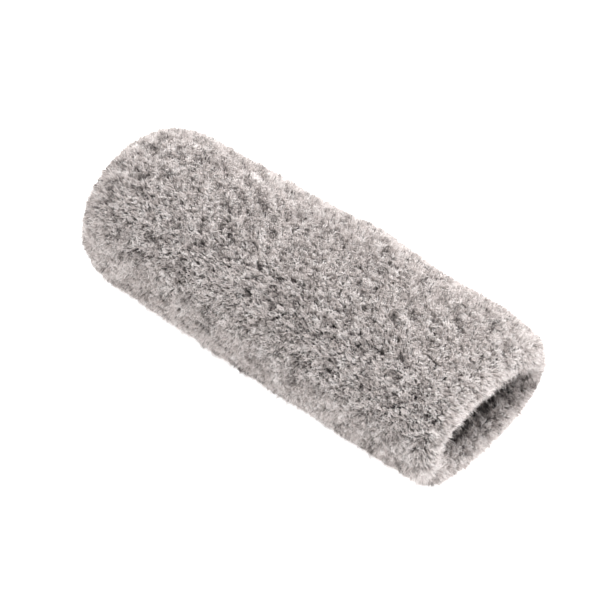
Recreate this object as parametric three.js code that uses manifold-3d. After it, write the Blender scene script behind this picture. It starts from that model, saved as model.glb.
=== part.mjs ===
// Slip-over fur cover for a short microphone windscreen, lying empty on its side.
//
// The cover is a sewn sock: a panel of fur cloth rolled into a tube, a round end cap of the same
// cloth, and a hem turned in at the mouth over a loop of elastic. Each cloth has two layers, the
// knitted backing and the pile that stands on it.
//
// Frame: millimetres, +Z up, +X along the sock towards its mouth. The origin is at the middle of
// the footprint, on the surface that the cover lies on.

import * as THREE from "three";
import { mergeVertices } from "three/addons/utils/BufferGeometryUtils.js";
import Module from "manifold-3d";

const manifoldLibrary = await Module();
manifoldLibrary.setup();

// Driving dimensions
const LENGTH = 190;            // over the pile, end to end
const WIDTH = 72;              // over the pile, where the rounded end meets the tube
const HEIGHT = 61;             // over the pile there
const PILE = 5.5;              // height of the pile where nothing presses it
const BACKING = 1.0;           // thickness of the knitted backing
const GAP = 0.3;               // clearance between neighbouring pieces
const PRESSED = 1.7;           // how far the weight presses the pile flat underneath
const SQUARENESS = 2.3;        // exponent of the cross-section: 2 is an ellipse, more is squarer
const END_ROUNDING = 34.5;     // length of the rounded closed end, over the pile
const END_BLUNTNESS = 3.0;     // exponent of the rounded end's outline
const SPREAD = 5.3;            // half width gained, and half height lost, along the tube
const GATHER_LENGTH = 28;      // stretch over which the elastic draws the mouth in
const MOUTH_NARROWING = 2.4;   // then taken off the half width
const MOUTH_FLATTENING = 3.5;  // and off the half height
const MOUTH_SKEW = 0.04;       // slope of the mouth across the cover: its -Y side lies back

const SEAM_ALLOWANCE = 5;      // turned-in edge of the cloth along the seams
const HEM_DEPTH = 22;          // how far the hem is turned in
const HEM_BARE = 5;            // bare backing left at the hem's raw edge
const HEM_PILE = 5.0;          // height of the pile on the turned-in hem
const ELASTIC_WIDTH = 8;
const ELASTIC_THICKNESS = 1.0;
const THREAD_RADIUS = 0.25;
const STITCH_PITCH = 8;        // one swing out and back of the overedge stitches

// Mesh fineness
const SIDES = 36;              // facets round the sock
const END_STATIONS = 8;        // rings along the rounded end
const TUBE_STATIONS = 4;       // rings along the straight tube, and again where it is gathered
const THREAD_SIDES = 5;
const STEPS_PER_STITCH = 8;
const FIN_STEPS = 16;

// The backing's outer face is depth 0. The pile stands at negative depths, and the hollow lies
// at positive ones. A place on the sock is a station along it, an angle round it and a depth.
const HALF_WIDTH = WIDTH / 2 - PILE;
const HALF_HEIGHT = (HEIGHT + PRESSED) / 2 - PILE;
const ROUNDING = END_ROUNDING - PILE;
const CAP_REACH = 44;                       // stations from the end's centre to the straight tube
const CAP_SEAM = CAP_REACH * 5 / END_STATIONS;
const TUBE_START = -LENGTH / 2 + END_ROUNDING;
const GATHER_START = LENGTH / 2 - GATHER_LENGTH;
const LIP_RADIUS = (PILE + 3 * GAP + ELASTIC_THICKNESS + 2 * BACKING + HEM_PILE) / 2;
const FOLD_X = LENGTH / 2 - LIP_RADIUS;     // where both layers begin to bend round the lip

const station = (x) => CAP_REACH + x - TUBE_START;
const within = (t) => Math.min(Math.max(t, 0), 1);
const smooth = (t) => within(t) ** 2 * (3 - 2 * within(t));
const power = (value, exponent) => Math.sign(value) * Math.abs(value) ** exponent;

// The point of the sock at a station, an angle and a depth.
function place(along, angle, depth) {
  const turn = Math.min(along / CAP_REACH, 1) * Math.PI / 2;
  const swell = power(Math.sin(turn), 2 / END_BLUNTNESS);
  const back = along < CAP_REACH ? power(Math.cos(turn), 2 / END_BLUNTNESS) : 0;
  const x = TUBE_START - (ROUNDING - depth) * back + Math.max(along - CAP_REACH, 0);
  const spread = SPREAD * within((x - TUBE_START) / (LENGTH / 2 - TUBE_START));
  const gather = smooth((x - GATHER_START) / GATHER_LENGTH);
  const halfWidth = HALF_WIDTH + spread - MOUTH_NARROWING * gather;
  const halfHeight = HALF_HEIGHT - spread - MOUTH_FLATTENING * gather;
  const middle = halfHeight + PILE - PRESSED;
  const y = (halfWidth - depth) * swell * power(Math.cos(angle), 2 / SQUARENESS);
  const z = middle - (halfHeight - depth) * swell * power(Math.sin(angle), 2 / SQUARENESS);
  const lean = MOUTH_SKEW * (y - HALF_WIDTH) * gather;
  return new THREE.Vector3(x + lean, y, Math.max(z, 0));
}

const rings = (from, to, count) => Array.from({ length: count }, (_, i) => (
  from + (to - from) * i / count
));
const RINGS = [
  ...rings(0, CAP_REACH, END_STATIONS),
  ...rings(CAP_REACH, station(GATHER_START), TUBE_STATIONS),
  ...rings(station(GATHER_START), station(FOLD_X), TUBE_STATIONS),
];

// Stations from one to another, with every ring between them.
function run(from, to) {
  const low = Math.min(from, to);
  const high = Math.max(from, to);
  const between = RINGS.filter((s) => s > low + 1 && s < high - 1);
  if (from > to) between.reverse();
  return [from, ...between, to];
}

const atDepth = (stations, depth) => stations.map((s) => new THREE.Vector2(s, -depth));

// Points round the lip's bend, from the hollow's side to the outside.
function bend(radius, depth, steps) {
  return Array.from({ length: steps - 1 }, (_, i) => {
    const angle = -Math.PI / 2 + (i + 1) * Math.PI / steps;
    const along = station(FOLD_X) + radius * Math.cos(angle);
    return new THREE.Vector2(along, -depth + radius * Math.sin(angle));
  });
}

// A ring or disc of cloth turned flat on a lathe, its radius being the station and its height the
// depth, and then laid on the sock.
function sewn(profile) {
  const geometry = new THREE.LatheGeometry(profile, SIDES);
  const position = geometry.attributes.position;
  for (let i = 0; i < position.count; i++) {
    const column = Math.floor(i / profile.length) % SIDES;
    const angle = column * 2 * Math.PI / SIDES;
    const along = profile[i % profile.length].x;
    const depth = -profile[i % profile.length].y;
    const point = place(along, angle, depth);
    position.setXYZ(i, point.x, point.y, point.z);
  }
  return geometry;
}

const closed = (profile) => [...profile, profile[0].clone()];

function toSolid(geometry) {
  const bare = geometry.clone();
  bare.deleteAttribute("normal");
  bare.deleteAttribute("uv");
  const merged = mergeVertices(bare);
  return new manifoldLibrary.Manifold(new manifoldLibrary.Mesh({
    numProp: 3,
    vertProperties: new Float32Array(merged.attributes.position.array),
    triVerts: new Uint32Array(merged.index.array),
  }));
}

function toGeometry(solid) {
  const mesh = solid.getMesh();
  const geometry = new THREE.BufferGeometry();
  geometry.setAttribute("position", new THREE.BufferAttribute(mesh.vertProperties, mesh.numProp));
  geometry.setIndex(new THREE.BufferAttribute(mesh.triVerts, 1));
  geometry.computeVertexNormals();
  return geometry;
}

const colours = { pile: 0xb4aba8, backing: 0x9b9694, elastic: 0xe4e2de, thread: 0x8c8785 };

const materials = {
  pile: new THREE.MeshStandardMaterial({ color: colours.pile, roughness: 1.0, metalness: 0 }),
  backing: new THREE.MeshStandardMaterial({ color: colours.backing, roughness: 0.95, metalness: 0 }),
  elastic: new THREE.MeshStandardMaterial({ color: colours.elastic, roughness: 0.8, metalness: 0 }),
  thread: new THREE.MeshStandardMaterial({ color: colours.thread, roughness: 0.7, metalness: 0 }),
};

function piece(name, geometry, material) {
  const mesh = new THREE.Mesh(geometry, material);
  mesh.name = name;
  return mesh;
}

// The hem's layers, counted inwards from the backing's outer face
const CHANNEL_DEPTH = 2 * GAP + ELASTIC_THICKNESS;
const HEM_OUTER = BACKING + CHANNEL_DEPTH;
const HEM_INNER = HEM_OUTER + BACKING;
const HEM_EDGE = FOLD_X - HEM_DEPTH;
const FOLD_DEPTH = HEM_INNER / 2;           // depth of the fold's centre

// The fin of the lengthwise seam, on the +Y side and clear of the cap seam and the hem
const FIN_START = TUBE_START;
const FIN_END = HEM_EDGE - 6;
const FIN_EDGE = BACKING + SEAM_ALLOWANCE;  // depth of the two raw edges

// Pile of the tube: over the outside, round the lip and back into the mouth.
function bodyPile() {
  const start = CAP_SEAM + GAP / 2;
  const inner = HEM_INNER + GAP;
  const hemStart = station(HEM_EDGE + HEM_BARE);
  const profile = [
    ...atDepth(run(start, station(FOLD_X)), -GAP),
    ...bend(FOLD_DEPTH + GAP, FOLD_DEPTH, 4).reverse(),
    ...atDepth(run(station(FOLD_X), hemStart), inner),
    ...atDepth(run(hemStart, station(FOLD_X)), inner + HEM_PILE),
    ...bend(LIP_RADIUS, inner + HEM_PILE - LIP_RADIUS, 8),
    ...atDepth(run(station(FOLD_X), start), -PILE),
  ];
  return piece("body_pile", sewn(closed(profile)), materials.pile);
}

// Knitted backing of the tube: a seam allowance at the cap, the hem turned in at the mouth, and
// the two long edges turned in as a fin along one side.
function bodyBacking() {
  const start = CAP_SEAM + GAP / 2;
  const profile = [
    ...atDepth([start, start + BACKING], BACKING + SEAM_ALLOWANCE),
    ...atDepth(run(start + BACKING, station(FOLD_X)), BACKING),
    ...bend(CHANNEL_DEPTH / 2, FOLD_DEPTH, 4).reverse(),
    ...atDepth(run(station(FOLD_X), station(HEM_EDGE)), HEM_OUTER),
    ...atDepth(run(station(HEM_EDGE), station(FOLD_X)), HEM_INNER),
    ...bend(FOLD_DEPTH, FOLD_DEPTH, 4),
    ...atDepth(run(station(FOLD_X), start), 0),
  ];
  const solid = toSolid(sewn(closed(profile))).add(toSolid(seamFin()));
  return piece("body_backing", toGeometry(solid), materials.backing);
}

// Two leaves of cloth, face to face, that stand inwards from the backing along its +Y side.
function seamFin() {
  const root = BACKING / 2;
  const fin = new THREE.BoxGeometry(1, 1, 2 * BACKING, FIN_STEPS, 1, 1);
  const position = fin.attributes.position;
  for (let i = 0; i < position.count; i++) {
    const x = FIN_START + (FIN_END - FIN_START) * (position.getX(i) + 0.5);
    const depth = FIN_EDGE + (root - FIN_EDGE) * (position.getY(i) + 0.5);
    const point = place(station(x), 0, depth);
    position.setXYZ(i, point.x, point.y, point.z + position.getZ(i));
  }
  return fin;
}

function capPile() {
  const end = CAP_SEAM - GAP / 2;
  const profile = [...atDepth(run(0, end), -GAP), ...atDepth(run(end, 0), -PILE)];
  return piece("end_cap_pile", sewn(profile), materials.pile);
}

function capBacking() {
  const end = CAP_SEAM - GAP / 2;
  const profile = [
    ...atDepth(run(0, end - BACKING), BACKING),
    ...atDepth([end - BACKING, end], BACKING + SEAM_ALLOWANCE),
    ...atDepth(run(end, 0), 0),
  ];
  return piece("end_cap_backing", sewn(profile), materials.backing);
}

function hemElastic() {
  const from = station(FOLD_X - 2 - ELASTIC_WIDTH);
  const to = station(FOLD_X - 2);
  const top = BACKING + GAP;
  const profile = [
    ...atDepth(run(from, to), top + ELASTIC_THICKNESS),
    ...atDepth(run(to, from), top),
  ];
  return piece("hem_elastic", sewn(closed(profile)), materials.elastic);
}

// A thread that swings to and fro over an edge while it runs along it. The callback gives the
// point for a share of the run and a swing angle, which is zero over the edge itself.
class OveredgeStitch extends THREE.Curve {
  constructor(stitches, point) {
    super();
    this.stitches = stitches;
    this.point = point;
  }

  getPoint(share, target = new THREE.Vector3()) {
    const reach = 2 * Math.PI / 3;
    const swing = reach * Math.sin(2 * Math.PI * this.stitches * share);
    return target.copy(this.point(share, swing));
  }

  getPointAt(share, target) {
    return this.getPoint(share, target);
  }

  getTangentAt(share, target) {
    return this.getTangent(share, target);
  }
}

function thread(name, length, point) {
  const stitches = Math.round(length / STITCH_PITCH);
  const section = new THREE.Shape(Array.from({ length: THREAD_SIDES }, (_, i) => {
    const angle = 2 * Math.PI * i / THREAD_SIDES;
    return new THREE.Vector2(THREAD_RADIUS * Math.cos(angle), THREAD_RADIUS * Math.sin(angle));
  }));
  const geometry = new THREE.ExtrudeGeometry(section, {
    steps: stitches * STEPS_PER_STITCH,
    extrudePath: new OveredgeStitch(stitches, point),
  });
  return piece(name, geometry, materials.thread);
}

// Round a closed seam the thread stops a little short of where it began.
const ROUND = 2 * Math.PI * 0.985;

function bodySeamThread() {
  const radius = BACKING * Math.SQRT2 + GAP + 2 * THREAD_RADIUS;
  const from = FIN_START + 2;
  const to = FIN_END - 2;
  return thread("body_seam_thread", to - from, (share, swing) => {
    const along = station(from + (to - from) * share);
    const point = place(along, 0, FIN_EDGE - BACKING + radius * Math.cos(swing));
    point.z += radius * Math.sin(swing);
    return point;
  });
}

function capSeamThread() {
  const radius = (BACKING + GAP / 2) * Math.SQRT2 + GAP + 2 * THREAD_RADIUS;
  const edge = SEAM_ALLOWANCE;
  const length = Math.PI * (HALF_WIDTH + HALF_HEIGHT - 2 * edge);
  return thread("end_cap_seam_thread", length, (share, swing) => place(
    CAP_SEAM + radius * Math.sin(swing),
    ROUND * share,
    edge + radius * Math.cos(swing),
  ));
}

function hemThread() {
  const radius = BACKING / 2 + CHANNEL_DEPTH / 2;
  const middle = (HEM_OUTER + HEM_INNER) / 2;
  const length = Math.PI * (HALF_WIDTH + HALF_HEIGHT - 2 * middle);
  return thread("hem_thread", length, (share, swing) => place(
    station(HEM_EDGE) + BACKING / 2 - radius * Math.cos(swing),
    ROUND * share,
    middle + radius * Math.sin(swing),
  ));
}

const cover = new THREE.Group();
cover.add(
  bodyPile(),
  bodyBacking(),
  capPile(),
  capBacking(),
  hemElastic(),
  bodySeamThread(),
  capSeamThread(),
  hemThread(),
);

export default cover;
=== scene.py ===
"""An empty slip-over fur cover for a microphone windscreen, lying on a pale floor.

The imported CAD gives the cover's size and layers. This script sews the same layers again with a
fine surface: the knitted backings with their seam allowances and hem, the elastic, the overedge
threads, and the pile as separate fibres gathered in tufts.
"""
import math

import bmesh
import bpy
import numpy as np
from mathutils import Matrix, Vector
from mathutils.kdtree import KDTree


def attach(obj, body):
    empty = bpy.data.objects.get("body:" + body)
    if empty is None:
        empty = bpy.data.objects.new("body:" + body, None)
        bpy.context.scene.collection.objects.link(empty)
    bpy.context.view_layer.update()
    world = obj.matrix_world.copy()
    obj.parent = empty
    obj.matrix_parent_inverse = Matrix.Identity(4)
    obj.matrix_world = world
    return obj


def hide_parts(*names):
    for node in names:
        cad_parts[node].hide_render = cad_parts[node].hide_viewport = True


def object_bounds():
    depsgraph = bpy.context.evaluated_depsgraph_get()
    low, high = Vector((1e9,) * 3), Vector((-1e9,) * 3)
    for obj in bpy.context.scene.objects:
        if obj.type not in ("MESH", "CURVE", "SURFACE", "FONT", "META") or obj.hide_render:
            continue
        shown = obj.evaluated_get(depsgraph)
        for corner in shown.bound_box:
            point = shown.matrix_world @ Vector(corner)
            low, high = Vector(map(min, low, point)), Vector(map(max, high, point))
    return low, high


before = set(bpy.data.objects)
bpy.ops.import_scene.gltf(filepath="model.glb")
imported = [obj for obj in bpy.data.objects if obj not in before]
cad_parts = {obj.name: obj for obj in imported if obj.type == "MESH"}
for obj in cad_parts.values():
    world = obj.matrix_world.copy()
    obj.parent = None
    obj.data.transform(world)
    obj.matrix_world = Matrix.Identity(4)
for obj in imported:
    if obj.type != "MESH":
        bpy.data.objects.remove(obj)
CAD_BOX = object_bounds()

MM = 0.001
random = np.random.default_rng(20)

# Sizes of the cloth, in millimetres. The imported CAD's bounds give the length and height, and the
# layers are the CAD's.
cad_size = (np.array(CAD_BOX[1]) - np.array(CAD_BOX[0])) / MM
LENGTH = cad_size[0]
HEIGHT = cad_size[2]
WIDTH = 72.0
PILE = 5.5
BACKING = 1.0
GAP = 0.3
PRESSED = 1.7
SQUARENESS = 2.3
END_ROUNDING = 34.5
END_BLUNTNESS = 3.0
SPREAD = 5.3
GATHER_LENGTH = 28.0
MOUTH_NARROWING = 2.4
MOUTH_FLATTENING = 3.5
MOUTH_SKEW = 0.04
SEAM_ALLOWANCE = 5.0
HEM_DEPTH = 22.0
HEM_BARE = 5.0
HEM_PILE = 5.0
ELASTIC_WIDTH = 8.0
ELASTIC_THICKNESS = 1.0
THREAD_RADIUS = 0.25
STITCH_PITCH = 8.0

HALF_WIDTH = WIDTH / 2 - PILE
HALF_HEIGHT = (HEIGHT + PRESSED) / 2 - PILE
ROUNDING = END_ROUNDING - PILE
CAP_REACH = 44.0
CAP_SEAM = CAP_REACH * 5 / 8
TUBE_START = -LENGTH / 2 + END_ROUNDING
GATHER_START = LENGTH / 2 - GATHER_LENGTH
CHANNEL_DEPTH = 2 * GAP + ELASTIC_THICKNESS
HEM_OUTER = BACKING + CHANNEL_DEPTH
HEM_INNER = HEM_OUTER + BACKING
LIP_RADIUS = (PILE + HEM_INNER + GAP + HEM_PILE) / 2
FOLD_X = LENGTH / 2 - LIP_RADIUS
FOLD_DEPTH = HEM_INNER / 2
HEM_EDGE = FOLD_X - HEM_DEPTH
FIN_START = TUBE_START
FIN_END = HEM_EDGE - 6.0
FIN_EDGE = BACKING + SEAM_ALLOWANCE


def station(x):
    """How far along the cloth, from the middle of the end cap, a place on the tube lies."""
    return CAP_REACH + x - TUBE_START


FOLD = station(FOLD_X)


def power(value, exponent):
    """A power that keeps the sign, for rounded squares."""
    return np.sign(value) * np.abs(value) ** exponent


def unit(vectors):
    """Vectors of length one, in the same directions."""
    return vectors / np.maximum(np.linalg.norm(vectors, axis=-1), 1e-9)[..., None]


FLOOR_FADE = 12.0  # height over which the soft shape fades out towards the floor

# Slow waves that make the cloth lie softly: wave along x, y and z, phase, and height
SAG_WAVES = (
    ((0.045, 0.030, 0.020), 0.4, 0.35),
    ((0.083, -0.061, 0.050), 2.1, 0.30),
    ((-0.121, 0.094, 0.073), 4.0, 0.20),
)

# Places where the empty cloth swells or sinks: centre, reach and movement
SWELLS = (
    ((14, 28, 48), 18, (0, 2.0, 3.0)),
    ((-23, 28, 48), 13, (0, -0.5, -0.8)),
    ((-86, -18, 44), 14, (0.7, 0.2, -0.4)),
    ((-60, -37, 20), 12, (0, 2.0, 0)),
    ((20, -38, 18), 17, (0, -2.2, 0)),
    ((90, 27, 38), 14, (1.4, 1.6, 1.3)),
)


def sag(points):
    """Moves points by soft waves and swells that fade out on the floor."""
    lift = np.clip(points[:, 2] / FLOOR_FADE, 0, 1)
    moved = points.copy()
    for turn, (wave, phase, height) in enumerate(SAG_WAVES):
        angle = points @ np.array(wave) + phase
        moved[:, 1] += height * np.sin(angle + turn) * lift
        moved[:, 2] += height * np.cos(angle) * lift
    for centre, reach, movement in SWELLS:
        distance = np.linalg.norm(points - centre, axis=1)
        share = np.exp(-(distance / reach) ** 2) * lift
        moved += share[:, None] * movement
    return moved


def smooth(share):
    """A share from 0 to 1 that starts and ends gently."""
    share = np.clip(share, 0, 1)
    return share * share * (3 - 2 * share)


def place(along, angle, depth):
    """The points of the cover at stations, angles round it and depths under the backing's face."""
    along, angle, depth = np.broadcast_arrays(along, angle, depth)
    turn = np.clip(along / CAP_REACH, 0, 1) * math.pi / 2
    swell = np.sin(turn) ** (2 / END_BLUNTNESS)
    back = np.where(along < CAP_REACH, np.abs(np.cos(turn)) ** (2 / END_BLUNTNESS), 0)
    x = TUBE_START - (ROUNDING - depth) * back + np.maximum(along - CAP_REACH, 0)
    spread = SPREAD * np.clip((x - TUBE_START) / (LENGTH / 2 - TUBE_START), 0, 1)
    gather = smooth((x - GATHER_START) / GATHER_LENGTH)
    half_width = HALF_WIDTH + spread - MOUTH_NARROWING * gather
    half_height = HALF_HEIGHT - spread - MOUTH_FLATTENING * gather
    middle = half_height + PILE - PRESSED
    y = (half_width - depth) * swell * power(np.cos(angle), 2 / SQUARENESS)
    z = middle - (half_height - depth) * swell * power(np.sin(angle), 2 / SQUARENESS)
    x = x + MOUTH_SKEW * (y - HALF_WIDTH) * gather
    return sag(np.stack([x, y, z], -1).reshape(-1, 3))


# ---------------------------------------------------------------- meshes


def link_piece(name, mesh):
    """A new object of a mesh, in the scene."""
    piece = bpy.data.objects.new(name, mesh)
    bpy.context.scene.collection.objects.link(piece)
    return piece


def mesh_piece(name, points, faces):
    """An object from points in millimetres and faces of three or more corners."""
    mesh = bpy.data.meshes.new(name)
    mesh.from_pydata((points * MM).tolist(), [], faces)
    mesh.shade_smooth()
    return link_piece(name, mesh)


def run(start, end, depth, step=1.5):
    """Points of a profile along the cloth at one depth."""
    count = max(2, int(abs(end - start) / step) + 1)
    return [(along, depth) for along in np.linspace(start, end, count)]


def bend(radius, depth, steps):
    """Points of a profile round the lip, from the hollow's side to the outside, without the ends."""
    angles = np.linspace(-math.pi / 2, math.pi / 2, steps + 1)[1:-1]
    return [(FOLD + radius * math.cos(a), depth - radius * math.sin(a)) for a in angles]


def sewn(name, profile, sides, on_axis=False):
    """A closed cloth of one profile of stations and depths, carried round the cover."""
    profile = np.array(profile)
    rows = len(profile)
    angle = np.arange(sides) * 2 * math.pi / sides
    points = place(profile[:, 0][None, :], angle[:, None], profile[:, 1][None, :])
    faces = []
    last = rows - 1 if on_axis else rows
    for i in range(sides):
        here = i * rows
        there = (i + 1) % sides * rows
        for j in range(last):
            k = (j + 1) % rows
            faces.append((here + j, there + j, there + k, here + k))
    return mesh_piece(name, points, faces)


def weld(piece, distance=0.01 * MM):
    """Merges points in one place, such as those at the end cap's middle, and mends the faces."""
    mesh = piece.data
    work = bmesh.new()
    work.from_mesh(mesh)
    bmesh.ops.remove_doubles(work, verts=work.verts, dist=distance)
    bmesh.ops.dissolve_degenerate(work, edges=work.edges, dist=distance / 10)
    bmesh.ops.recalc_face_normals(work, faces=work.faces)
    work.to_mesh(mesh)
    work.free()
    mesh.shade_smooth()


# ---------------------------------------------------------------- materials


# Linear colours across the shades of the tufts, and from root to tip of a fibre. The darkest stop
# also colours the painted shade inside the mouth, and the darkening towards the root is painted
# shade in the gaps between tufts
FIBRE_SHADES = (
    (0.0, (0.10, 0.088, 0.083)),
    (0.2, (0.44, 0.39, 0.372)),
    (0.45, (0.71, 0.645, 0.624)),
    (0.75, (0.87, 0.81, 0.79)),
    (1.0, (0.98, 0.94, 0.925)),
)
ROOT_PAINTED_SHADE_RAMP = (
    (0.0, (0.25, 0.24, 0.235)),
    (0.5, (0.66, 0.65, 0.64)),
    (0.82, (0.95, 0.945, 0.94)),
    (1.0, (1.0, 1.0, 1.0)),
)


def new_material(name):
    """A material, its nodes, its links and its shader."""
    material = bpy.data.materials.new(name)
    material.use_nodes = True
    nodes = material.node_tree.nodes
    return material, nodes, material.node_tree.links, nodes["Principled BSDF"]


def ramp(nodes, stops):
    """A colour ramp with stops of position and colour."""
    node = nodes.new("ShaderNodeValToRGB")
    elements = node.color_ramp.elements
    while len(elements) < len(stops):
        elements.new(0.5)
    for element, (position, colour) in zip(elements, stops):
        element.position = position
        element.color = (*colour, 1)
    return node


def fibre_material():
    """Acrylic fibres: dark at the root as painted shade between the tufts, pale at the tip, and each
    tuft its own shade, with a painted highlight at the lip and painted shade inside the mouth.
    """
    material, nodes, links, shader = new_material("pile_fibres")
    uv = nodes.new("ShaderNodeUVMap")
    uv.uv_map = "OFBake"
    split = nodes.new("ShaderNodeSeparateXYZ")
    links.new(uv.outputs["UV"], split.inputs["Vector"])
    tone_and_painted_light = ramp(nodes, FIBRE_SHADES)
    links.new(split.outputs["X"], tone_and_painted_light.inputs["Fac"])
    # painted shade: the fibres darken towards the root, standing in for shade in the gaps between
    # tufts
    length = ramp(nodes, ROOT_PAINTED_SHADE_RAMP)
    links.new(split.outputs["Y"], length.inputs["Fac"])
    mix = nodes.new("ShaderNodeMix")
    mix.data_type = "RGBA"
    mix.blend_type = "MULTIPLY"
    mix.inputs["Factor"].default_value = 1
    links.new(tone_and_painted_light.outputs["Color"], mix.inputs["A"])
    links.new(length.outputs["Color"], mix.inputs["B"])
    links.new(mix.outputs["Result"], shader.inputs["Base Color"])
    shader.inputs["Roughness"].default_value = 0.62
    shader.inputs["Specular IOR Level"].default_value = 0.35
    shader.inputs["Sheen Weight"].default_value = 0.2
    shader.inputs["Sheen Roughness"].default_value = 0.45
    shader.inputs["Sheen Tint"].default_value = (1.0, 0.97, 0.96, 1)
    return material


def cloth_material(name, dark, light, stitch_mm):
    """A knit seen from its back: rows of small loops, with some unevenness."""
    material, nodes, links, shader = new_material(name)
    coordinates = nodes.new("ShaderNodeTexCoord")
    voronoi = nodes.new("ShaderNodeTexVoronoi")
    voronoi.inputs["Scale"].default_value = 1 / (stitch_mm * MM)
    voronoi.inputs["Randomness"].default_value = 0.35
    links.new(coordinates.outputs["Object"], voronoi.inputs["Vector"])
    noise = nodes.new("ShaderNodeTexNoise")
    noise.inputs["Scale"].default_value = 160
    noise.inputs["Detail"].default_value = 4
    links.new(coordinates.outputs["Object"], noise.inputs["Vector"])
    tone = nodes.new("ShaderNodeMath")
    tone.operation = "MULTIPLY_ADD"
    links.new(voronoi.outputs["Distance"], tone.inputs[0])
    tone.inputs[1].default_value = -0.8
    links.new(noise.outputs["Fac"], tone.inputs[2])
    colour = ramp(nodes, ((0.1, dark), (0.75, light)))
    links.new(tone.outputs["Value"], colour.inputs["Fac"])
    links.new(colour.outputs["Color"], shader.inputs["Base Color"])
    bump = nodes.new("ShaderNodeBump")
    bump.inputs["Strength"].default_value = 0.6
    bump.inputs["Distance"].default_value = 0.3 * MM
    bump.invert = True
    links.new(voronoi.outputs["Distance"], bump.inputs["Height"])
    links.new(bump.outputs["Normal"], shader.inputs["Normal"])
    shader.inputs["Roughness"].default_value = 0.9
    shader.inputs["Sheen Weight"].default_value = 0.2
    return material


# ---------------------------------------------------------------- camera, light and floor

CAMERA_AZIMUTH = math.radians(38.4)
CAMERA_ELEVATION = math.radians(48.0)
CAMERA_DISTANCE = 1.9
CAMERA_LENS = 288.6
CAMERA_TARGET = Vector((0.0002, 0.0007, 0.0240))


def aim(thing, target):
    """Turns a camera or lamp towards a point."""
    thing.rotation_euler = (target - thing.location).to_track_quat("-Z", "Y").to_euler()


def make_camera():
    """A long lens that looks down on the cover from its side and its mouth's end."""
    camera = bpy.data.objects.new("camera", bpy.data.cameras.new("camera"))
    bpy.context.scene.collection.objects.link(camera)
    flat = CAMERA_DISTANCE * math.cos(CAMERA_ELEVATION)
    camera.location = CAMERA_TARGET + Vector((
        flat * math.sin(CAMERA_AZIMUTH),
        -flat * math.cos(CAMERA_AZIMUTH),
        CAMERA_DISTANCE * math.sin(CAMERA_ELEVATION),
    ))
    aim(camera, CAMERA_TARGET)
    camera.data.lens = CAMERA_LENS
    camera.data.clip_start = 0.01
    bpy.context.scene.camera = camera


def make_lamp(name, place_m, size, watts):
    """A square soft lamp, aimed at the cover."""
    lamp = bpy.data.objects.new(name, bpy.data.lights.new(name, "AREA"))
    bpy.context.scene.collection.objects.link(lamp)
    lamp.location = place_m
    lamp.data.size = size
    lamp.data.energy = watts
    aim(lamp, CAMERA_TARGET)


def make_studio():
    """A white surround, one softbox beyond the cover and above it, and a pale floor."""
    world = bpy.data.worlds.new("studio")
    world.use_nodes = True
    background = world.node_tree.nodes["Background"]
    background.inputs["Color"].default_value = (1, 1, 1, 1)
    background.inputs["Strength"].default_value = 1.2
    bpy.context.scene.world = world
    bpy.context.scene.view_settings.view_transform = "Standard"
    make_lamp("softbox", (0.12, 0.6, 1.0), 0.9, 17.0)
    bpy.ops.mesh.primitive_plane_add(size=6, location=(0, 0, 0))
    floor = bpy.context.object
    floor.name = "floor"
    material, _, _, shader = new_material("floor_white")
    shader.inputs["Base Color"].default_value = (0.93, 0.93, 0.93, 1)
    shader.inputs["Roughness"].default_value = 0.9
    shader.inputs["Emission Color"].default_value = (1, 1, 1, 1)
    shader.inputs["Emission Strength"].default_value = 0.8
    floor.data.materials.append(material)


make_camera()
make_studio()

# ---------------------------------------------------------------- backings, elastic

SIDES = 160              # facets round the cover
FIN_STEPS = 120          # points along the seam's turned-in edges
FIN_WAVE = 0.25          # unevenness of their raw edge
ELASTIC_INSET = 2.0      # from the fold to the elastic
ELASTIC_RIBS = 9
RIB_HEIGHT = 0.12


def fin_mesh(height, thickness):
    """The two turned-in edges of the body cloth, sewn face to face along one side."""
    parts = []
    for side in (-1, 1):
        xs = np.linspace(FIN_START, FIN_END, FIN_STEPS)
        inner = FIN_EDGE + FIN_WAVE * np.sin(xs * 0.9 + side)
        outer = np.full_like(xs, FIN_EDGE - height)
        ring = []
        for depth, edge in ((inner, -1), (outer, -1), (outer, 1), (inner, 1)):
            points = place(station(xs), 0, depth)
            points[:, 2] += side * thickness / 2 + edge * thickness / 2.1
            ring.append(points)
        parts.append(np.stack(ring, 1))
    return parts


def add_fin(piece, parts):
    """Joins the fin's two leaves to the body backing."""
    work = bmesh.new()
    work.from_mesh(piece.data)
    for ring in parts:
        verts = [[work.verts.new(p) for p in row] for row in ring * MM]
        for a, b in zip(verts, verts[1:]):
            for i in range(4):
                j = (i + 1) % 4
                work.faces.new((a[i], a[j], b[j], b[i]))
        work.faces.new(verts[0])
        work.faces.new(verts[-1])
    bmesh.ops.recalc_face_normals(work, faces=work.faces)
    work.to_mesh(piece.data)
    work.free()


def make_body_backing():
    """The body's knit: the seam edge, the outside, the channel, the hem and the lip."""
    start = CAP_SEAM + GAP / 2
    profile = [
        *run(start, start + BACKING, BACKING + SEAM_ALLOWANCE, 1.0),
        *run(start + BACKING, FOLD, BACKING),
        *bend(CHANNEL_DEPTH / 2, FOLD_DEPTH, 6)[::-1],
        *run(FOLD, station(HEM_EDGE), HEM_OUTER),
        *run(station(HEM_EDGE), FOLD, HEM_INNER),
        *bend(FOLD_DEPTH, FOLD_DEPTH, 10),
        *run(FOLD, start, 0),
    ]
    piece = sewn("body_cloth", profile, SIDES)
    weld(piece)
    add_fin(piece, fin_mesh(SEAM_ALLOWANCE + BACKING / 2, BACKING))
    return piece


def make_cap_backing():
    """The end cap's knit, a round with its edge turned in."""
    end = CAP_SEAM - GAP / 2
    profile = [
        *run(0, end - BACKING, BACKING),
        *run(end - BACKING, end, BACKING + SEAM_ALLOWANCE, 1.0),
        *run(end, 0, 0),
    ]
    piece = sewn("end_cap_cloth", profile, SIDES, on_axis=True)
    weld(piece)
    return piece


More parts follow.
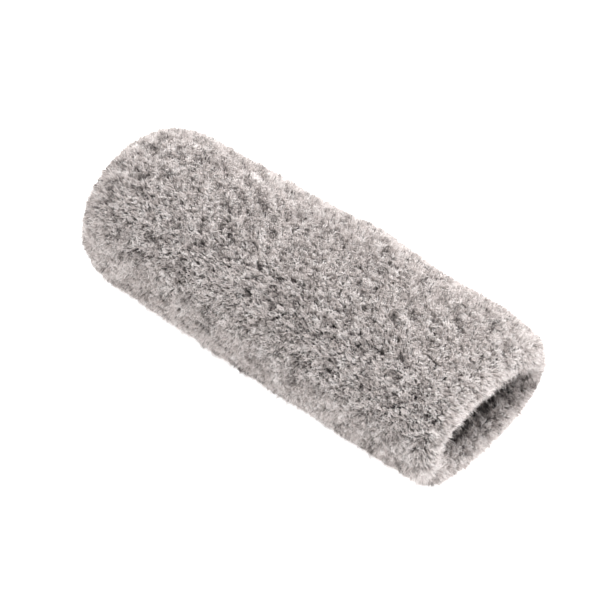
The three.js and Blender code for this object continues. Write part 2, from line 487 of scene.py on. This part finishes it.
def make_elastic():
    """A flat band with fine ribs along it."""
    start = FOLD - ELASTIC_INSET - ELASTIC_WIDTH
    end = FOLD - ELASTIC_INSET
    top = BACKING + GAP
    across = np.linspace(start, end, ELASTIC_RIBS * 6 + 1)
    wave = RIB_HEIGHT * np.cos((across - start) / ELASTIC_WIDTH * ELASTIC_RIBS * 2 * math.pi)
    profile = [
        *zip(across, top + ELASTIC_THICKNESS - RIB_HEIGHT + wave),
        *zip(across[::-1], top + RIB_HEIGHT - wave[::-1]),
    ]
    piece = sewn("hem_elastic_band", profile, SIDES)
    weld(piece)
    return piece


# ---------------------------------------------------------------- threads

YARN_SIDES = 6
STEPS_PER_STITCH = 22
ROUND = 2 * math.pi * 0.985  # a seam's thread stops just short of where it began


def yarn(name, path, radius):
    """A thread of two plies twisted along a path of points in millimetres."""
    step = unit(np.gradient(path, axis=0))
    side = unit(np.cross(step, np.array([0.31, 0.53, 0.79])))
    other = np.cross(step, side)
    travel = np.concatenate([[0], np.cumsum(np.linalg.norm(np.diff(path, axis=0), axis=1))])
    points = []
    faces = []
    sides = YARN_SIDES
    for ply in range(2):
        twist = travel / (radius * 6) * 2 * math.pi + ply * math.pi
        centre = path + 0.5 * radius * (
            np.cos(twist)[:, None] * side + np.sin(twist)[:, None] * other
        )
        for k in range(sides):
            a = 2 * math.pi * k / sides
            ring = centre + 0.55 * radius * (math.cos(a) * side + math.sin(a) * other)
            points.append(ring)
        for i in range(len(path) - 1):
            for k in range(sides):
                n = (k + 1) % sides
                first = (ply * sides + k) * len(path) + i
                second = (ply * sides + n) * len(path) + i
                faces.append((first, second, second + 1, first + 1))
        ends = [(ply * sides + k) * len(path) for k in range(sides)]
        faces.append(tuple(ends[::-1]))
        faces.append(tuple(end + len(path) - 1 for end in ends))
    return mesh_piece(name, np.concatenate(points), faces)


def swing_path(stitches, point):
    """The way of an overedge stitch: the callback takes shares of the run and swing angles."""
    share = np.linspace(0, 1, stitches * STEPS_PER_STITCH + 1)
    swing = 2 * math.pi / 3 * np.sin(2 * math.pi * stitches * share)
    return point(share, swing)


def make_body_seam_thread():
    """Overedge stitches along the raw edges of the lengthwise seam."""
    radius = BACKING * math.sqrt(2) + GAP + 2 * THREAD_RADIUS
    start = FIN_START + 2
    end = FIN_END - 2

    def point(share, swing):
        along = station(start + (end - start) * share)
        points = place(along, 0, FIN_EDGE - BACKING + radius * np.cos(swing))
        points[:, 2] += radius * np.sin(swing)
        return points

    stitches = round((end - start) / STITCH_PITCH)
    return yarn("body_seam_stitching", swing_path(stitches, point), THREAD_RADIUS)


def make_cap_seam_thread():
    """Overedge stitches round the end cap's seam."""
    radius = (BACKING + GAP / 2) * math.sqrt(2) + GAP + 2 * THREAD_RADIUS
    length = math.pi * (HALF_WIDTH + HALF_HEIGHT - 2 * SEAM_ALLOWANCE)

    def point(share, swing):
        depth = SEAM_ALLOWANCE + radius * np.cos(swing)
        return place(CAP_SEAM + radius * np.sin(swing), ROUND * share, depth)

    stitches = round(length / STITCH_PITCH)
    return yarn("end_cap_stitching", swing_path(stitches, point), THREAD_RADIUS)


def make_hem_thread():
    """Overedge stitches round the hem's raw edge."""
    radius = BACKING / 2 + CHANNEL_DEPTH / 2
    middle = (HEM_OUTER + HEM_INNER) / 2
    length = math.pi * (HALF_WIDTH + HALF_HEIGHT - 2 * middle)

    def point(share, swing):
        along = station(HEM_EDGE) + BACKING / 2 - radius * np.cos(swing)
        return place(along, ROUND * share, middle + radius * np.sin(swing))

    stitches = round(length / STITCH_PITCH)
    return yarn("hem_stitching", swing_path(stitches, point), THREAD_RADIUS)


# ---------------------------------------------------------------- pile

STRANDS = 350_000
STRANDS_PER_PIECE = 19_000
FIBRE_RADIUS = 0.1
FIBRE_CORNERS = 7        # three at the root, three below the tip, and the tip
PILE_AREA = 44_000       # rough area of the face of the tips
LIP_REACH = 7.0          # how far the lip's livelier fibres reach

# Fibres are gathered in tufts, here called locks. Middle and spread of each, where there are two.
LOCK_TRIES = 3.5         # random places tried for each square of the spacing
LOCK_SPACING = 0.9
LOCK_CLOSENESS = 0.8     # least distance between locks, as a share of the spacing
LOCK_REACH = (1.8, 0.5)  # how far the tips of a lock bend over
LOCK_HEIGHT_SPREAD = 0.045
FIBRE_PULL = (0.55, 0.15)  # how far a fibre's tip is drawn to its lock's
ALONG_SWAY = 1.25        # tips bend more along the cover than round it
ROUND_SWAY = 0.85
WAY_SPREAD = 0.8         # how much the fibres of one lock part, in radians
STRAY = 0.12

# Kinds of fibre: most bend over, some stand up, and a few are long loose hairs
UPRIGHT_SHARE = 0.24
UPRIGHT_HEIGHT = (1.07, 0.08)
BENT_HEIGHT = (0.95, 0.06)
HAIR_SHARE = 0.05
HAIR_HEIGHT = (1.25, 0.1)
FOLD_LENGTH = math.pi * FOLD_DEPTH
HEM_END = FOLD + FOLD_LENGTH + HEM_DEPTH - HEM_BARE

# A fibre's shade: how much each thing makes it paler, with a painted highlight along the lip, and
# how much darker the pile inside is, as painted shade
MIDDLE_SHADE = 0.57
LOCK_SHADE = 0.3
PATCH_SHADE = 0.15
SLOW_SHADE = 0.02
LIP_PAINTED_HIGHLIGHT = 0.18
INSIDE_PAINTED_SHADE = 0.7
UPRIGHT_SHADE_SPREAD = 0.15
BENT_SHADE_SPREAD = 0.06
# Painted light by the lip and inside the mouth: FRINGE_REACH is how far the painted highlight
# reaches, INSIDE_FADE the stretch over which the painted shade comes in
FRINGE_REACH = 7.0       # how far from the lip the fibres are paler
INSIDE_FADE = 5.0        # stretch over which the pile inside darkens


def cloth_face(run_mm, angle):
    """The backing's face that bears the pile: out along the cover, round the lip and back."""
    turn = np.clip((run_mm - FOLD) / FOLD_DEPTH, 0, math.pi)
    past = np.maximum(run_mm - FOLD - FOLD_LENGTH, 0)
    along = np.minimum(run_mm, FOLD) + FOLD_DEPTH * np.sin(turn) - past
    depth = FOLD_DEPTH - FOLD_DEPTH * np.cos(turn)
    return place(along, angle, depth)


def face_frame(run_mm, angle):
    """Points of the cloth's face, the ways out of it and along it, and the way round it."""
    points = cloth_face(run_mm, angle)
    small = 0.05
    behind = cloth_face(np.maximum(run_mm - small, 0.001), angle)
    forward = cloth_face(run_mm + small, angle) - behind
    turn = 0.002
    round_it = cloth_face(run_mm, angle + turn) - cloth_face(run_mm, angle - turn)
    out = unit(np.cross(forward, round_it))
    forward = unit(forward)
    return points, out, forward, np.cross(out, forward)


def pile_height(run_mm):
    """The pile is full outside and a little shorter on the turned-in hem."""
    inside = np.clip((run_mm - FOLD) / FOLD_LENGTH, 0, 1)
    return PILE + (HEM_PILE - PILE) * inside


def tip_face(run_mm, angle):
    """The face that the tips of upright fibres make."""
    root, out, _, _ = face_frame(run_mm, angle)
    return root + out * pile_height(run_mm)[:, None]


def scatter(count):
    """Random places of fibres whose tips are spread evenly."""
    cap_runs = np.linspace(0.3, CAP_REACH, 60)
    tube_runs = np.linspace(CAP_REACH, HEM_END, 240)
    runs = np.concatenate([cap_runs, tube_runs[1:]])
    angles = np.linspace(0, 2 * math.pi, 181)
    rows, columns = np.meshgrid(runs, angles, indexing="ij")
    grid = tip_face(rows.ravel(), columns.ravel()).reshape(len(runs), len(angles), 3)
    a = grid[1:, :-1] - grid[:-1, :-1]
    b = grid[:-1, 1:] - grid[:-1, :-1]
    area = np.linalg.norm(np.cross(a, b), axis=-1)
    chance = np.cumsum(area.ravel()) / area.sum()
    cell = np.searchsorted(chance, random.random(count))
    row, column = np.divmod(cell, len(angles) - 1)
    run_mm = runs[row] + random.random(count) * (runs[row + 1] - runs[row])
    angle = angles[column] + random.random(count) * (angles[1] - angles[0])
    return run_mm, angle


def search_tree(points):
    """A tree that finds the points near a place."""
    tree = KDTree(len(points))
    for i, point in enumerate(points):
        tree.insert(point, i)
    tree.balance()
    return tree


def thin_out(points, spacing):
    """The indices of points that are no nearer to each other than the spacing."""
    tree = search_tree(points)
    taken = np.zeros(len(points), bool)
    kept = []
    for i, point in enumerate(points):
        if taken[i]:
            continue
        kept.append(i)
        for _, j, _ in tree.find_range(point, spacing):
            taken[j] = True
    return np.array(kept)


def nearest(points, centres):
    """For each point, the index of the centre nearest to it."""
    tree = search_tree(centres)
    return np.array([tree.find(point)[1] for point in points])


def drift(points, shortest, longest, seed):
    """Smooth random vectors over space, with no wave shorter or longer than asked."""
    source = np.random.default_rng(seed)
    total = np.zeros_like(points)
    waves = 24
    for _ in range(waves):
        way = unit(source.normal(size=3))
        length = source.uniform(shortest, longest)
        angle = points @ way * 2 * math.pi / length
        total += np.sin(angle[:, None] + source.uniform(0, 2 * math.pi, 3))
    return total / math.sqrt(waves / 2)


# A fibre stands up at first, and its tip bends over: the share of the height and of the sway
RING_SHARES = np.array([0.0, 0.8, 1.0])
RING_RISE = np.array([0.0, 0.92, 1.0])
RING_SWAY = np.array([0.0, 0.35, 1.0])


def grow_pile():
    """The rings of every fibre, its shade with its painted highlight or painted shade, and its place
    along the cloth.
    """
    lock_run, lock_angle = scatter(int(LOCK_TRIES * PILE_AREA / LOCK_SPACING ** 2))
    kept = thin_out(tip_face(lock_run, lock_angle), LOCK_SPACING * LOCK_CLOSENESS)
    lock_tip = tip_face(lock_run[kept], lock_angle[kept])
    locks = len(kept)
    lock_way = random.uniform(0, 2 * math.pi, locks)
    lock_reach = np.abs(random.normal(*LOCK_REACH, locks))
    lock_height = random.normal(0, LOCK_HEIGHT_SPREAD, locks)
    lock_shade = random.normal(0, 1, locks)

    run_mm, angle = scatter(STRANDS)
    root, out, forward, aside = face_frame(run_mm, angle)
    tip = root + out * pile_height(run_mm)[:, None]
    count = len(root)
    owner = nearest(tip, lock_tip)
    patch = drift(root * (0.65, 1, 1), 2.5, 6.5, 3)
    slow = drift(root, 14.0, 40.0, 5)
    at_lip = np.exp(-((run_mm - FOLD - FOLD_LENGTH / 2) / LIP_REACH) ** 2)
    upright = random.random(count) < UPRIGHT_SHARE + 0.25 * at_lip
    way = lock_way[owner] + random.normal(0, WAY_SPREAD, count)
    reach = lock_reach[owner] * random.normal(1, 0.2, count) * np.where(upright, 0.4, 1)
    sway = ALONG_SWAY * np.cos(way)[:, None] * forward + ROUND_SWAY * np.sin(way)[:, None] * aside
    sway *= reach[:, None]
    lean = 0.4 * patch + 0.5 * forward + np.array([0, 0, -0.3])
    sway += lean - out * np.sum(lean * out, axis=1)[:, None]
    height = pile_height(run_mm) * (1.0 + lock_height[owner] + 0.035 * patch[:, 0])
    upright_height = random.normal(*UPRIGHT_HEIGHT, count)
    bent_height = random.normal(*BENT_HEIGHT, count)
    height *= np.where(upright, upright_height, bent_height)
    hair = random.random(count) < HAIR_SHARE + 0.06 * at_lip
    height *= np.where(hair, random.normal(*HAIR_HEIGHT, count), 1)
    pull = np.clip(random.normal(*FIBRE_PULL, count), 0, 0.95) * np.where(upright, 0.3, 1)
    gather = (tip - lock_tip[owner]) * pull[:, None]
    rings = []
    for rise, swing in zip(RING_RISE, RING_SWAY):
        stray = random.normal(0, STRAY, (count, 3)) * rise
        rings.append(root + out * (height * rise)[:, None] + sway * swing - gather * rise + stray)
    rings = np.stack(rings, 1)
    resting = 0.25 + random.random((count, 1)) * 0.5
    rings[..., 2] = np.maximum(rings[..., 2], resting)
    tone_and_painted_light = MIDDLE_SHADE + LOCK_SHADE * lock_shade[owner]
    tone_and_painted_light = tone_and_painted_light + PATCH_SHADE * patch[:, 1] + SLOW_SHADE * slow[:, 1]
    shade_spread = np.where(upright, UPRIGHT_SHADE_SPREAD, BENT_SHADE_SPREAD)
    tone_and_painted_light += random.normal(0, 1, count) * shade_spread
    # painted highlight: the pile near the lip's fold is made paler, standing in for the light it
    # catches
    tone_and_painted_light += LIP_PAINTED_HIGHLIGHT * np.exp(-((run_mm - FOLD) / FRINGE_REACH) ** 2)
    # painted shade: the turned-in pile inside the mouth is made darker, standing in for the shade in
    # the hollow
    tone_and_painted_light -= INSIDE_PAINTED_SHADE * smooth((run_mm - FOLD - FOLD_LENGTH * 0.5) / INSIDE_FADE)
    radius = FIBRE_RADIUS * np.where(upright, 0.75, 1) * np.where(hair, 0.75, 1)
    return rings, radius, np.clip(tone_and_painted_light, 0.01, 0.99), run_mm


def fibres(name, rings, radius, tone_and_painted_light, material):
    """Three-sided tapering fibres, each closed at the root and ending in a point."""
    count = len(rings)
    way = unit(rings[:, -1] - rings[:, 0])
    side = unit(np.cross(way, unit(np.roll(way, 1, axis=1) + (0.2, 0.3, 0.5))))
    other = np.cross(way, side)
    points = np.zeros((count, FIBRE_CORNERS, 3))
    uv = np.zeros((count, FIBRE_CORNERS, 2))
    for r in range(2):
        for k in range(3):
            a = 2 * math.pi * k / 3
            offset = math.cos(a) * side + math.sin(a) * other
            points[:, 3 * r + k] = rings[:, r] + radius[:, None] * offset
            # the first UV coordinate carries the fibre's tone, with its painted highlight or painted
            # shade
            uv[:, 3 * r + k, 0] = tone_and_painted_light + 0.004 * (k - 1)
            uv[:, 3 * r + k, 1] = RING_SHARES[r]
    points[:, 6] = rings[:, 2]
    uv[:, 6, 0] = tone_and_painted_light
    uv[:, 6, 1] = 1.0
    uv = np.clip(uv, 0.002, 0.998)
    walls = [(k, (k + 1) % 3, 3 + (k + 1) % 3, 3 + k) for k in range(3)]
    tips = [(3 + k, 3 + (k + 1) % 3, 6) for k in range(3)]
    root = (2, 1, 0)
    pattern = np.array([corner for face in [*walls, *tips, root] for corner in face])
    sizes = np.array([4] * 3 + [3] * 4)
    corners = (np.arange(count)[:, None] * FIBRE_CORNERS + pattern[None, :]).ravel()
    totals = np.tile(sizes, count)
    starts = np.concatenate([[0], np.cumsum(totals)[:-1]])
    mesh = bpy.data.meshes.new(name)
    mesh.vertices.add(count * FIBRE_CORNERS)
    mesh.vertices.foreach_set("co", (points * MM).astype(np.float32).ravel())
    mesh.loops.add(len(corners))
    mesh.loops.foreach_set("vertex_index", corners.astype(np.int32))
    mesh.polygons.add(len(totals))
    mesh.polygons.foreach_set("loop_start", starts.astype(np.int32))
    mesh.update(calc_edges=True)
    mesh.shade_smooth()
    layer = mesh.uv_layers.new(name="OFBake")
    layer.data.foreach_set("uv", uv.reshape(-1, 2)[corners].astype(np.float32).ravel())
    mesh.materials.append(material)
    return link_piece(name, mesh)


def make_pile():
    """The fibres, in pieces of at most STRANDS_PER_PIECE fibres each, standing in for the CAD node,
    which is hidden.
    """
    rings, radius, tone_and_painted_light, run_mm = grow_pile()
    material = fibre_material()
    made = {"end_cap_pile": [], "body_pile": []}
    for node, chosen in (("end_cap_pile", run_mm < CAP_SEAM), ("body_pile", run_mm >= CAP_SEAM)):
        order = np.nonzero(chosen)[0]
        order = order[np.argsort(run_mm[order], kind="stable")]
        parts = math.ceil(len(order) / STRANDS_PER_PIECE)
        for number, part in enumerate(np.array_split(order, parts), 1):
            name = f"{node}_fibres_{number:02d}"
            piece = fibres(name, rings[part], radius[part], tone_and_painted_light[part], material)
            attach(piece, "root")
            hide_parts(node)
            made[node].append(piece)
    return made


backing_material = cloth_material("backing_knit", (0.12, 0.105, 0.10), (0.36, 0.33, 0.315), 0.9)
elastic_material = cloth_material("elastic_braid", (0.45, 0.43, 0.41), (0.85, 0.83, 0.8), 0.5)
thread_material = cloth_material("sewing_thread", (0.2, 0.18, 0.17), (0.5, 0.47, 0.45), 0.15)


def finish_piece(piece, node, material):
    """Gives a piece its material and body, and hides the CAD node it stands in for."""
    piece.data.materials.append(material)
    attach(piece, "root")
    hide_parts(node)
    return piece


body_cloth = finish_piece(make_body_backing(), "body_backing", backing_material)
cap_cloth = finish_piece(make_cap_backing(), "end_cap_backing", backing_material)
elastic = finish_piece(make_elastic(), "hem_elastic", elastic_material)
body_thread = finish_piece(make_body_seam_thread(), "body_seam_thread", thread_material)
cap_thread = finish_piece(make_cap_seam_thread(), "end_cap_seam_thread", thread_material)
hem_thread = finish_piece(make_hem_thread(), "hem_thread", thread_material)
pile = make_pile()
